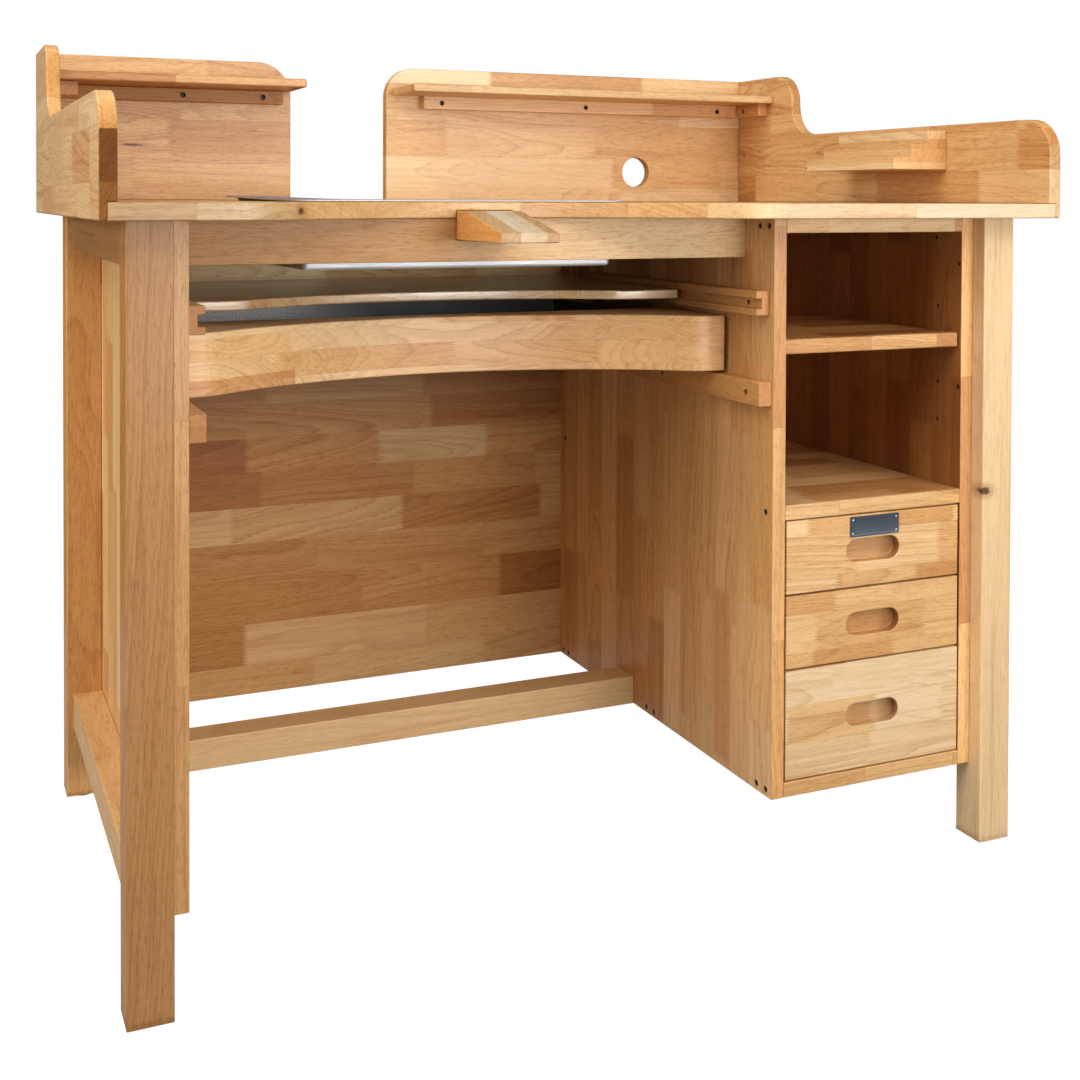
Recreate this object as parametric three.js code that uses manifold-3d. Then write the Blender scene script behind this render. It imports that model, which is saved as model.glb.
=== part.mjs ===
// Jeweller's workbench in laminated hardwood: leg frame, belly-cut top with a
// low gallery, drawer cabinet on the right, and a knee space with a pull-out
// board above a sweeps tray. Millimetres, +Z up, +X to the sitter's right,
// +Y to the back.
import * as THREE from 'three';
import { mergeVertices } from 'three/addons/utils/BufferGeometryUtils.js';
import Module from 'manifold-3d';

const wasm = await Module();
wasm.setup();

// ---- driving dimensions, measured from the left leg's outer face (X), the
// front legs' front face (Y) and the undersides of the legs (Z) ----
const LEG = 57;            // square leg
const W = 1342;            // outside to outside of the legs
const D = 790;             // front to back of the legs
const FOOT_H = 6;          // plastic glide under each leg
const FOOT_R = 19;
const T = 22;              // panel thickness
const Z_PANEL = 117;       // underside of panels, cabinet and stretchers
const Z_TOP0 = 972;        // underside of the top
const Z_TOP1 = 994;        // working surface
const Y_FRONT = -60;       // front edge of the top
const Y_BACK = 861;        // back face of the gallery
const GAL_T = 21;          // gallery board thickness
const GAL_X0 = -37;        // left gallery board, outer face
const GAL_X1 = 1379;       // right gallery board, outer face
const RABBET = 9;          // lip of the gallery boards that covers the edge of the top
const Z_LOW = 1125;        // low part of the end boards
const Z_HIGH = 1245;       // high part of the end boards and the back boards
const Y_PANEL = 26;        // front edge of the side panels
const Y_BPANEL = 774;      // front face of the knee back panel
const CAB_X0 = 920;        // cabinet, outer left face
const CAB_X1 = 1285;       // cabinet, outer right face
const KNEE_X0 = LEG + T;   // knee space, left
const KNEE_XM = 498;       // middle of the knee space and of the belly cut
const Y_APRON = 105;       // front face of the front apron, deepest point of the belly
const Z_APRON = 912;
const BELLY_R = 416;       // belly curve
const BELLY_r = 120;       // rounded shoulders of the belly curve
const BELLY_DX = 387;      // half width of the belly cut

// ---- frame: bottom centre of the whole bench on the floor ----
const X0 = 671, Y0 = 400.5, Z0 = -FOOT_H;

const bench = new THREE.Group();
bench.name = 'jewelers_bench';

const COL = {
  wood: 0xd9a866, woodDark: 0xc8955a, steel: 0xc9ccce, tin: 0x4a4d50, plastic: 0x1c1c1c,
};
const mat = {
  wood: () => new THREE.MeshStandardMaterial({ color: COL.wood, roughness: 0.5, metalness: 0 }),
  pale: () => new THREE.MeshStandardMaterial({ color: COL.woodDark, roughness: 0.55, metalness: 0 }),
  steel: () => new THREE.MeshStandardMaterial({ color: COL.steel, roughness: 0.3, metalness: 1 }),
  tin: () => new THREE.MeshStandardMaterial({ color: COL.tin, roughness: 0.45, metalness: 0.8 }),
  plastic: () => new THREE.MeshStandardMaterial({ color: COL.plastic, roughness: 0.6, metalness: 0 }),
};

// ---- helpers ----
function box(x0, x1, y0, y1, z0, z1) {
  const g = new THREE.BoxGeometry(x1 - x0, y1 - y0, z1 - z0);
  g.translate((x0 + x1) / 2, (y0 + y1) / 2, (z0 + z1) / 2);
  return g;
}
function extr(shape, depth, seg = 12) {
  return new THREE.ExtrudeGeometry(shape, { depth, bevelEnabled: false, curveSegments: seg });
}
// outline in X,Y, from z0 to z1
function planZ(shape, z0, z1) {
  const g = extr(shape, z1 - z0);
  g.translate(0, 0, z0);
  return g;
}
// outline in Y,Z, from x0 to x1
function planX(shape, x0, x1) {
  const g = extr(shape, x1 - x0);
  g.applyMatrix4(new THREE.Matrix4().set(0, 0, 1, x0, 1, 0, 0, 0, 0, 1, 0, 0, 0, 0, 0, 1));
  return g;
}
// outline in X,Z, from y0 to y1
function planY(shape, y0, y1) {
  const g = extr(shape, y1 - y0);
  g.applyMatrix4(new THREE.Matrix4().set(1, 0, 0, 0, 0, 0, -1, y1, 0, 1, 0, 0, 0, 0, 0, 1));
  return g;
}
function poly(pts) {
  const s = new THREE.Shape();
  pts.forEach(([a, b], i) => (i ? s.lineTo(a, b) : s.moveTo(a, b)));
  s.closePath();
  return s;
}
// points on a circle, both ends included
function arc(cx, cy, r, a0, a1, n) {
  const out = [];
  for (let i = 0; i <= n; i++) {
    const a = a0 + ((a1 - a0) * i) / n;
    out.push([cx + r * Math.cos(a), cy + r * Math.sin(a)]);
  }
  return out;
}
function solid(g) {
  const p = new THREE.BufferGeometry();
  p.setAttribute('position', g.getAttribute('position').clone());
  if (g.index) p.setIndex(g.index.clone());
  const m = mergeVertices(p, 1e-4);
  return new wasm.Manifold(new wasm.Mesh({
    numProp: 3,
    vertProperties: new Float32Array(m.getAttribute('position').array),
    triVerts: new Uint32Array(m.index.array),
  }));
}
function back(m) {
  const k = m.getMesh();
  const g = new THREE.BufferGeometry();
  const n = k.numProp, v = k.vertProperties, xyz = new Float32Array((v.length / n) * 3);
  for (let i = 0; i < v.length / n; i++) {
    xyz[3 * i] = v[n * i]; xyz[3 * i + 1] = v[n * i + 1]; xyz[3 * i + 2] = v[n * i + 2];
  }
  g.setAttribute('position', new THREE.BufferAttribute(xyz, 3));
  g.setIndex(new THREE.BufferAttribute(new Uint32Array(k.triVerts), 1));
  const f = g.toNonIndexed();
  f.computeVertexNormals();
  return f;
}
function cut(a, ...cs) {
  let m = solid(a);
  for (const c of cs) m = m.subtract(solid(c));
  return back(m);
}
function join(a, ...cs) {
  let m = solid(a);
  for (const c of cs) m = m.add(solid(c));
  return back(m);
}
// blind round holes: a list of places on one face, and the way into the wood
const ring = (a, b, r) => poly(arc(a, b, r, 0, 2 * Math.PI, 20).slice(0, -1));
const boreX = (x, r, deep, way, ...yz) => yz.map(([y, z]) => (way > 0
  ? planX(ring(y, z, r), x - 1, x + deep) : planX(ring(y, z, r), x - deep, x + 1)));
const boreY = (y, r, deep, ...xz) => xz.map(([x, z]) => planY(ring(x, z, r), y - 1, y + deep));
const SCREW_R = 5;         // counterbore over a sunk screw head
const PIN_HOLE_R = 2.75;   // shelf-pin hole
function add(name, g, material) {
  g.translate(-X0, -Y0, -Z0);
  const mesh = new THREE.Mesh(g, material);
  mesh.name = name;
  bench.add(mesh);
}

// ---- leg frame ----
const legAt = {
  front_left: [0, 0], front_right: [W - LEG, 0], rear_left: [0, D - LEG], rear_right: [W - LEG, D - LEG],
};
for (const [k, [x, y]] of Object.entries(legAt)) {
  add(`${k}_leg`, box(x, x + LEG, y, y + LEG, 0, Z_TOP0), mat.wood());
  const f = new THREE.CylinderGeometry(FOOT_R, FOOT_R - 1.5, FOOT_H, 28);
  f.applyMatrix4(new THREE.Matrix4().set(1, 0, 0, x + LEG / 2, 0, 0, -1, y + LEG / 2, 0, 1, 0, -FOOT_H / 2, 0, 0, 0, 1));
  add(`${k}_foot`, f, mat.plastic());
}
const SIDE_IN = 10;        // side rails sit back from the legs' outer faces
for (const [k, xa, xb] of [['left', SIDE_IN, LEG], ['right', W - LEG, W - SIDE_IN]]) {
  add(`${k}_side_apron`, box(xa, xb, LEG, D - LEG, 913, Z_TOP0), mat.wood());
  add(`${k}_side_stretcher`, box(xa, xb, LEG, D - LEG, Z_PANEL, 172), mat.wood());
}
add('left_side_panel', cut(
  box(LEG, KNEE_X0, Y_PANEL, D, Z_PANEL, Z_TOP0),
  ...boreX(KNEE_X0, SCREW_R, 4, -1, [40, 899.5], [40, 538], [40, 180], [762, 899.5], [762, 538], [762, 180]),
), mat.wood());
add('knee_back_panel', box(KNEE_X0, CAB_X0, Y_BPANEL, D, Z_PANEL, Z_TOP0), mat.wood());
add('knee_stretcher', box(KNEE_X0, CAB_X0, 465, 522, Z_PANEL, 165), mat.wood());

// ---- bench pin and its mortise ----
const PIN_X0 = 456, PIN_X1 = 538, PIN_Z0 = 942, PIN_Z1 = 982, PIN_NOSE = 954.5;
const PIN_YF = Y_FRONT, PIN_YS = 65, PIN_YB = 175, PIN_GAP = 0.5;
add('bench_pin', planX(poly([
  [PIN_YB, PIN_Z0], [PIN_YB, PIN_Z1], [PIN_YS, PIN_Z1], [PIN_YF, PIN_NOSE], [PIN_YF, PIN_Z0],
]), PIN_X0, PIN_X1), mat.wood());
add('front_apron', cut(
  box(KNEE_X0, CAB_X0, Y_APRON, Y_APRON + T, Z_APRON, Z_TOP0),
  box(PIN_X0 - PIN_GAP, PIN_X1 + PIN_GAP, Y_APRON - 5, Y_APRON + T + 5, PIN_Z0 - PIN_GAP, Z_TOP0 + 5),
), mat.wood());

// ---- drop-in steel pan ----
const PAN = { x0: 264, x1: 740, y0: 200, y1: 618, z0: 900, t: 1.5, flange: 24 };
add('drop_in_pan', cut(
  join(
    box(PAN.x0, PAN.x1, PAN.y0, PAN.y1, PAN.z0, Z_TOP1 + PAN.t),
    box(PAN.x0 - PAN.flange, PAN.x1 + PAN.flange, PAN.y0 - PAN.flange, PAN.y1 + PAN.flange, Z_TOP1, Z_TOP1 + PAN.t),
  ),
  box(PAN.x0 + PAN.t, PAN.x1 - PAN.t, PAN.y0 + PAN.t, PAN.y1 - PAN.t, PAN.z0 + PAN.t, Z_TOP1 + 20),
), mat.steel());

// ---- top with the belly cut ----
// concave curve of radius R with its deepest point at (xm, yDeep), run out into
// a straight front at yFront through rounded shoulders of radius r, left to right
function belly(xm, yDeep, yFront, R, r, dx, n = 20, k = 8) {
  const cy = yDeep - R;
  const sy = yFront + r;
  const a = Math.atan2(sy - cy, dx);
  const left = arc(xm - dx, sy, r, -Math.PI / 2, -a, k);
  const mid = arc(xm, cy, R, Math.PI - a, a, n);
  const right = arc(xm + dx, sy, r, Math.PI + a, 1.5 * Math.PI, k);
  return [...left, ...mid.slice(1, -1), ...right];
}
const TOP_X0 = GAL_X0 + RABBET, TOP_X1 = GAL_X1 - RABBET, TOP_Y1 = Y_BACK - RABBET;
add('table_top', cut(
  planZ(poly([
    [TOP_X0, Y_FRONT], ...belly(KNEE_XM, Y_APRON, Y_FRONT, BELLY_R, BELLY_r, BELLY_DX),
    [TOP_X1, Y_FRONT], [TOP_X1, TOP_Y1], [TOP_X0, TOP_Y1],
  ]), Z_TOP0, Z_TOP1),
  box(PAN.x0 - 2, PAN.x1 + 2, PAN.y0 - 2, PAN.y1 + 2, Z_TOP0 - 5, Z_TOP1 + 5),
  box(PIN_X0 - PIN_GAP, PIN_X1 + PIN_GAP, 20, PIN_YB + 1, Z_TOP0 - 5, PIN_Z1 + PIN_GAP),
), mat.wood());

// ---- gallery ----
const RF = 55;             // rounded front and top corners of the end boards
const Y_STEP = 644;        // front of the high part
const RC = 62;             // hollow at the foot of the high part
const endProfile = poly([
  [Y_FRONT, Z_TOP0], [Y_BACK, Z_TOP0], [Y_BACK, Z_HIGH],
  ...arc(Y_STEP + RF, Z_HIGH - RF, RF, Math.PI / 2, Math.PI, 10),
  ...arc(Y_STEP - RC, Z_LOW + RC, RC, 0, -Math.PI / 2, 10),
  ...arc(Y_FRONT + RF, Z_LOW - RF, RF, Math.PI / 2, Math.PI, 10),
]);
add('left_gallery_end', cut(
  planX(endProfile, GAL_X0, GAL_X0 + GAL_T),
  box(TOP_X0, GAL_X0 + GAL_T + 5, Y_FRONT - 5, Y_BACK + 5, Z_TOP0 - 5, Z_TOP1),
), mat.wood());
add('right_gallery_end', cut(
  planX(endProfile, GAL_X1 - GAL_T, GAL_X1),
  box(GAL_X1 - GAL_T - 5, TOP_X1, Y_FRONT - 5, Y_BACK + 5, Z_TOP0 - 5, Z_TOP1),
), mat.wood());
const IN_X0 = GAL_X0 + GAL_T, IN_X1 = GAL_X1 - GAL_T, Y_BOARD = Y_BACK - GAL_T;
const GAP_X0 = 403, GAP_X1 = 585;   // open gap in the back of the gallery
const HOLE = { x: 1114, z: 1053, r: 30 };
add('left_back_board', join(
  cut(
    planY(poly([
      [IN_X0, Z_TOP0], [GAP_X0, Z_TOP0], ...arc(GAP_X0 - 60, Z_HIGH - 60, 60, 0, Math.PI / 2, 12), [IN_X0, Z_HIGH],
    ]), Y_BOARD, Y_BACK),
    box(IN_X0 - 5, GAP_X0 + 5, Y_BOARD - 5, TOP_Y1, Z_TOP0 - 5, Z_TOP1),
  ),
  box(TOP_X0, IN_X0 + 3, TOP_Y1, Y_BACK, Z_TOP0, Z_TOP1),
), mat.wood());
const rb = poly([
  [GAP_X1, Z_TOP0], [IN_X1, Z_TOP0], [IN_X1, Z_HIGH], ...arc(GAP_X1 + 54, Z_HIGH - 54, 54, Math.PI / 2, Math.PI, 12),
]);
const cableHole = new THREE.Path();
arc(HOLE.x, HOLE.z, HOLE.r, 0, -2 * Math.PI, 40).slice(0, -1).forEach(([a, b], i) => (i ? cableHole.lineTo(a, b) : cableHole.moveTo(a, b)));
cableHole.closePath();
rb.holes.push(cableHole);
add('right_back_board', join(
  cut(planY(rb, Y_BOARD, Y_BACK), box(GAP_X1 - 5, IN_X1 + 5, Y_BOARD - 5, TOP_Y1, Z_TOP0 - 5, Z_TOP1)),
  box(IN_X1 - 3, TOP_X1, TOP_Y1, Y_BACK, Z_TOP0, Z_TOP1),
), mat.wood());
const Z_LEDGE = 1192, LEDGE_T = 15, Y_LEDGE = 711, CLEAT = 22, Z_CLEAT = 1168;
add('left_ledge', box(IN_X0, 401, Y_LEDGE, Y_BOARD, Z_LEDGE, Z_LEDGE + LEDGE_T), mat.wood());
add('right_ledge', box(598, IN_X1, Y_LEDGE, Y_BOARD, Z_LEDGE, Z_LEDGE + LEDGE_T), mat.wood());
add('left_ledge_cleat', cut(
  box(IN_X0 + 36, 384, Y_BOARD - CLEAT, Y_BOARD, Z_CLEAT, Z_LEDGE),
  ...boreY(Y_BOARD - CLEAT, SCREW_R, 11, [63, 1180], [205, 1180], [347, 1180]),
), mat.wood());
add('right_ledge_cleat', cut(
  box(653, IN_X1 - 21, Y_BOARD - CLEAT, Y_BOARD, Z_CLEAT, Z_LEDGE),
  ...boreY(Y_BOARD - CLEAT, SCREW_R, 11, [689, 1179.5], [991, 1179.5], [1291, 1179.5]),
), mat.wood());
add('left_side_cleat', cut(
  box(IN_X0, IN_X0 + 36, 733, Y_BOARD, Z_CLEAT, Z_LEDGE), ...boreX(IN_X0 + 36, SCREW_R, 26, -1, [770, 1180]),
), mat.wood());
add('right_side_cleat', cut(
  box(IN_X1 - 21, IN_X1, 733, Y_BOARD, Z_CLEAT, Z_LEDGE), ...boreX(IN_X1 - 21, SCREW_R, 11, 1, [792, 1180]),
), mat.wood());
add('stepped_tool_rest', planY(poly([
  [IN_X1, 1050], [IN_X1, 1115], [1319, 1115], [1319, 1092.5], [1286.5, 1092.5], [1286.5, 1070], [1250.5, 1070], [1250.5, 1050],
]), 180, 432.5), mat.wood());

// ---- cabinet ----
const BAY_X0 = CAB_X0 + T, BAY_X1 = CAB_X1 - T;
const pinHoles = [831, 771, 711, 651].flatMap((z) => [[82, z], [395, z]]);
add('cabinet_left_side', cut(
  box(CAB_X0, BAY_X0, Y_PANEL, D, Z_PANEL, Z_TOP0),
  ...boreX(CAB_X0, SCREW_R, 4, 1, [40, 960], [65, 960], [45, 538], [756, 538],
    [41, 128], [66, 128], [390, 127], [417, 127], [738, 126], [761, 126]),
  ...boreX(BAY_X0, PIN_HOLE_R, 11, -1, ...pinHoles),
), mat.wood());
add('cabinet_right_side', cut(
  box(BAY_X1, CAB_X1, Y_PANEL, D, Z_PANEL, Z_TOP0),
  ...boreX(BAY_X1, SCREW_R - 1, 4, 1, [33, 899.5], [33, 707.5], [760, 899.5], [760, 707.5],
    [88, 939.5], [274, 939.5], [460, 939.5], [646, 939.5]),
  ...boreX(BAY_X1, PIN_HOLE_R, 11, 1, ...pinHoles),
), mat.wood());
add('cabinet_back', box(BAY_X0, BAY_X1, Y_BPANEL, D, Z_PANEL, Z_TOP0), mat.pale());
add('cabinet_top', box(BAY_X0, BAY_X1, Y_PANEL, Y_BPANEL, Z_TOP0 - T, Z_TOP0), mat.wood());
add('cabinet_bottom', box(BAY_X0, BAY_X1, Y_PANEL, Y_BPANEL, Z_PANEL, Z_PANEL + T), mat.wood());
add('fixed_shelf', box(BAY_X0, BAY_X1, Y_PANEL, Y_BPANEL, 527, 549), mat.wood());
add('adjustable_shelf', box(BAY_X0 + 2, BAY_X1 - 2, 32, 446, 771, 793), mat.wood());

// ---- drawers: inset front with a finger slot, box, and bottom panel ----
const DR_X0 = BAY_X0 + 3, DR_X1 = BAY_X1 - 2.5, DR_YF = 27, DR_T = 22;
const BOX_X0 = BAY_X0 + 2, BOX_X1 = BAY_X1 - 2, BOX_T = 12, BOX_Y1 = 620;
const SLOT = { x0: 1052, x1: 1148, h: 35, deep: 14 };
const drawers = [
  { n: 1, z0: 416.5, z1: 525, bz0: 430.5, bz1: 512, runner: 414.5 },
  { n: 2, z0: 306, z1: 413.5, bz0: 320.5, bz1: 402, runner: 304.5 },
  { n: 3, z0: 141.5, z1: 303, bz0: 139.5, bz1: 288, runner: null },
];
for (const d of drawers) {
  const zc = (d.z0 + d.z1) / 2, r = SLOT.h / 2;
  const slot = poly([
    ...arc(SLOT.x0 + r, zc, r, Math.PI / 2, 1.5 * Math.PI, 12), ...arc(SLOT.x1 - r, zc, r, -Math.PI / 2, Math.PI / 2, 12),
  ]);
  add(`drawer_${d.n}_front`, cut(
    box(DR_X0, DR_X1, DR_YF, DR_YF + DR_T, d.z0, d.z1),
    planY(slot, DR_YF - 5, DR_YF + SLOT.deep),
  ), mat.wood());
  const yb = DR_YF + DR_T;
  add(`drawer_${d.n}_box`, cut(
    box(BOX_X0, BOX_X1, yb, BOX_Y1, d.bz0, d.bz1),
    box(BOX_X0 + BOX_T, BOX_X1 - BOX_T, yb - 5, BOX_Y1 - BOX_T, d.bz0 - 5, d.bz1 + 5),
  ), mat.pale());
  add(`drawer_${d.n}_bottom`, box(BOX_X0 + BOX_T, BOX_X1 - BOX_T, yb, BOX_Y1 - BOX_T, d.bz0 + 8, d.bz0 + 14), mat.pale());
  if (d.runner !== null) {
    add(`drawer_${d.n}_left_runner`, box(BAY_X0, BAY_X0 + 18, 52, 760, d.runner, d.bz0 - 0.5), mat.wood());
    add(`drawer_${d.n}_right_runner`, box(BAY_X1 - 18, BAY_X1, 52, 760, d.runner, d.bz0 - 0.5), mat.wood());
  }
}

// ---- rails in the knee space ----
const GR = { z0: 829, z1: 865, g0: 839, g1: 854, t: 22, deep: 9.5, y0: 38, y1: 630 };
const railScrews = (z, y0 = 67) => [[y0, z], [326, z], [585, z]];
add('upper_left_rail', cut(planY(poly([
  [KNEE_X0, GR.z0], [KNEE_X0 + GR.t, GR.z0], [KNEE_X0 + GR.t, GR.g0], [KNEE_X0 + GR.t - GR.deep, GR.g0],
  [KNEE_X0 + GR.t - GR.deep, GR.g1], [KNEE_X0 + GR.t, GR.g1], [KNEE_X0 + GR.t, GR.z1], [KNEE_X0, GR.z1],
]), GR.y0, GR.y1), ...boreX(KNEE_X0 + GR.t - GR.deep, SCREW_R - 1, 5, -1, ...railScrews(846.5, 75.5))), mat.wood());
add('upper_right_rail', cut(planY(poly([
  [CAB_X0, GR.z0], [CAB_X0, GR.z1], [CAB_X0 - GR.t, GR.z1], [CAB_X0 - GR.t, GR.g1], [CAB_X0 - GR.t + GR.deep, GR.g1],
  [CAB_X0 - GR.t + GR.deep, GR.g0], [CAB_X0 - GR.t, GR.g0], [CAB_X0 - GR.t, GR.z0],
]), GR.y0, GR.y1), ...boreX(CAB_X0 - GR.t + GR.deep, SCREW_R - 1, 5, 1, ...railScrews(846.5, 75.5))), mat.wood());
add('lower_left_rail', cut(
  box(KNEE_X0, KNEE_X0 + 22, 30, 622, 696, 732), ...boreX(KNEE_X0 + 22, SCREW_R, 8, -1, ...railScrews(713.5)),
), mat.wood());
add('lower_right_rail', cut(
  box(CAB_X0 - 22, CAB_X0, 30, 622, 696, 732), ...boreX(CAB_X0 - 22, SCREW_R, 8, 1, ...railScrews(713.5)),
), mat.wood());

// ---- pull-out board, edges running in the rail grooves, front corners notched ----
const PB = { y: 275, deep: 363, half: 308, y1: 772 };
const pbR = (PB.half ** 2 + (PB.deep - PB.y) ** 2) / (2 * (PB.deep - PB.y));
const pbA = Math.asin(PB.half / pbR);
add('pull_out_board', planZ(poly([
  [KNEE_X0 + 13, PB.y + 30], [KNEE_X0 + 21, PB.y + 30], [KNEE_X0 + 21, PB.y],
  ...arc(KNEE_XM, PB.deep - pbR, pbR, Math.PI / 2 + pbA, Math.PI / 2 - pbA, 18),
  [CAB_X0 - 21, PB.y], [CAB_X0 - 21, PB.y + 30], [CAB_X0 - 13, PB.y + 30], [CAB_X0 - 13, PB.y1], [KNEE_X0 + 13, PB.y1],
]), 839.5, 853.5), mat.wood());

// ---- sweeps tray: thick wooden front with a hollow face, sides, back, sheet-metal liner ----
const TR = { x0: 84, x1: 912, y: 150, deep: 282, R: 596, r: 60, dx: 392, yIn: 325, side: 15, y1: 772, z0: 736, z1: 821 };
add('tray_front', planZ(poly([
  [TR.x0, TR.y], ...belly(KNEE_XM, TR.deep, TR.y, TR.R, TR.r, TR.dx, 18, 6), [TR.x1, TR.y], [TR.x1, TR.yIn], [TR.x0, TR.yIn],
]), TR.z0, TR.z1), mat.wood());
const SB = TR.yIn + 0.5;
add('tray_left_side', box(TR.x0, TR.x0 + TR.side, SB, TR.y1, 732.5, 812), mat.pale());
add('tray_right_side', box(TR.x1 - TR.side, TR.x1, SB, TR.y1, 732.5, 812), mat.pale());
add('tray_back', box(TR.x0 + TR.side, TR.x1 - TR.side, TR.y1 - 14, TR.y1, 732.5, 812), mat.pale());
const LX0 = TR.x0 + TR.side + 0.5, LX1 = TR.x1 - TR.side - 0.5, LY0 = TR.yIn + 0.5, LY1 = TR.y1 - 14.5, LT = 1.2;
add('tray_liner', cut(
  box(LX0, LX1, LY0, LY1, 733, 808), box(LX0 + LT, LX1 - LT, LY0 + LT, LY1 - LT, 733 + LT, 820),
), mat.tin());

export default bench;
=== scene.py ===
import math

import bmesh
import bpy
from mathutils import Matrix, Vector


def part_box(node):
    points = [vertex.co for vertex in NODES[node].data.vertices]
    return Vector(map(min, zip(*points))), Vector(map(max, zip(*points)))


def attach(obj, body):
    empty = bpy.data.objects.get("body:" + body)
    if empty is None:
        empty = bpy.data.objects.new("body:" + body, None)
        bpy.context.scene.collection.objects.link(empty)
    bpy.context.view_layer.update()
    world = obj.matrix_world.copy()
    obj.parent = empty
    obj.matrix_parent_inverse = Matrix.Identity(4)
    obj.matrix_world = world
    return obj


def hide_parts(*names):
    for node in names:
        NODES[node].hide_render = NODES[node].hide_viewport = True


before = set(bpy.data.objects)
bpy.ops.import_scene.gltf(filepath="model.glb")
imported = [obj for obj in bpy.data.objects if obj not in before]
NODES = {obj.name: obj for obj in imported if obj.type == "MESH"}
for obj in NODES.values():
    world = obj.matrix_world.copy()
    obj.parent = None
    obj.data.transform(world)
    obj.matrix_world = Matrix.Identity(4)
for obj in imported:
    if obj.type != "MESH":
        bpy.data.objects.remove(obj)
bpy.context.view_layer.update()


def P(x, y, z):
    """A point given in millimetres from the left leg's outer face, the front legs' front face and the legs' undersides."""
    return Vector(((x - 671) / 1000, (y - 400.5) / 1000, (z + 6) / 1000))


# ------------------------------------------------------------------ node helpers
class Graph:
    def __init__(self, tree):
        self.t = tree

    def new(self, kind, **props):
        n = self.t.nodes.new(kind)
        for k, v in props.items():
            setattr(n, k, v)
        return n

    def put(self, sock, value):
        if isinstance(value, bpy.types.NodeSocket):
            self.t.links.new(value, sock)
        elif value is not None:
            sock.default_value = value

    def math(self, op, a, b=None, c=None, clamp=False):
        n = self.new("ShaderNodeMath", operation=op, use_clamp=clamp)
        for s, v in zip(n.inputs, (a, b, c)):
            self.put(s, v)
        return n.outputs[0]

    def add(self, a, b): return self.math("ADD", a, b)
    def sub(self, a, b): return self.math("SUBTRACT", a, b)
    def mul(self, a, b): return self.math("MULTIPLY", a, b)
    def div(self, a, b): return self.math("DIVIDE", a, b)
    def mad(self, a, b, c): return self.math("MULTIPLY_ADD", a, b, c)

    def vec(self, op, a, b=None):
        n = self.new("ShaderNodeVectorMath", operation=op)
        self.put(n.inputs[0], a)
        if b is not None:
            self.put(n.inputs[1], b)
        return n.outputs["Value"] if op in ("LENGTH", "DISTANCE", "DOT_PRODUCT") else n.outputs[0]

    def xyz(self, x, y, z):
        n = self.new("ShaderNodeCombineXYZ")
        for s, v in zip(n.inputs, (x, y, z)):
            self.put(s, v)
        return n.outputs[0]

    def split(self, v):
        n = self.new("ShaderNodeSeparateXYZ")
        self.put(n.inputs[0], v)
        return n.outputs[0], n.outputs[1], n.outputs[2]

    def rgb(self, c):
        n = self.new("ShaderNodeSeparateColor")
        self.put(n.inputs[0], c)
        return n.outputs[0], n.outputs[1], n.outputs[2]

    def noise3(self, v, scale=1.0, detail=2.0, rough=0.5, distort=0.0):
        n = self.new("ShaderNodeTexNoise", noise_dimensions="3D")
        self.put(n.inputs["Vector"], v)
        for k, x in (("Scale", scale), ("Detail", detail), ("Roughness", rough), ("Distortion", distort)):
            self.put(n.inputs[k], x)
        return n.outputs[0]

    def noise1(self, w, scale=1.0, detail=1.0, rough=0.5):
        n = self.new("ShaderNodeTexNoise", noise_dimensions="1D")
        self.put(n.inputs["W"], w)
        for k, x in (("Scale", scale), ("Detail", detail), ("Roughness", rough)):
            self.put(n.inputs[k], x)
        return n.outputs[0]

    def cells(self, w, rand):
        """Random colour and centre of the cell that w is in, and the distance to its edge."""
        a = self.new("ShaderNodeTexVoronoi", voronoi_dimensions="1D", feature="F1")
        b = self.new("ShaderNodeTexVoronoi", voronoi_dimensions="1D", feature="DISTANCE_TO_EDGE")
        for n in (a, b):
            self.put(n.inputs["W"], w)
            self.put(n.inputs["Scale"], 1.0)
            self.put(n.inputs["Randomness"], rand)
        return a.outputs["Color"], a.outputs["W"], b.outputs["Distance"]

    def step(self, x, lo, hi, a=0.0, b=1.0):
        n = self.new("ShaderNodeMapRange", interpolation_type="SMOOTHSTEP")
        for s, v in zip(n.inputs, (x, lo, hi, a, b)):
            self.put(s, v)
        return n.outputs[0]

    def ramp(self, fac, stops):
        n = self.new("ShaderNodeValToRGB")
        r = n.color_ramp
        while len(r.elements) < len(stops):
            r.elements.new(0.5)
        for e, (p, c) in zip(r.elements, stops):
            e.position = p
            e.color = (*c, 1)
        self.put(n.inputs[0], fac)
        return n.outputs[0]

    def mix(self, fac, a, b, mode="MIX"):
        n = self.new("ShaderNodeMix", data_type="RGBA", blend_type=mode)
        self.put(n.inputs["Factor"], fac)
        for s, v in ((n.inputs[6], a), (n.inputs[7], b)):
            self.put(s, (*v, 1) if isinstance(v, tuple) and len(v) == 3 else v)
        return n.outputs[2]


def lin(r, g, b):
    """Linear colour from 8-bit values."""
    f = lambda c: c / 12.92 if c <= 0.04045 else ((c + 0.055) / 1.055) ** 2.4
    return tuple(f(x / 255) for x in (r, g, b))


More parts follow.
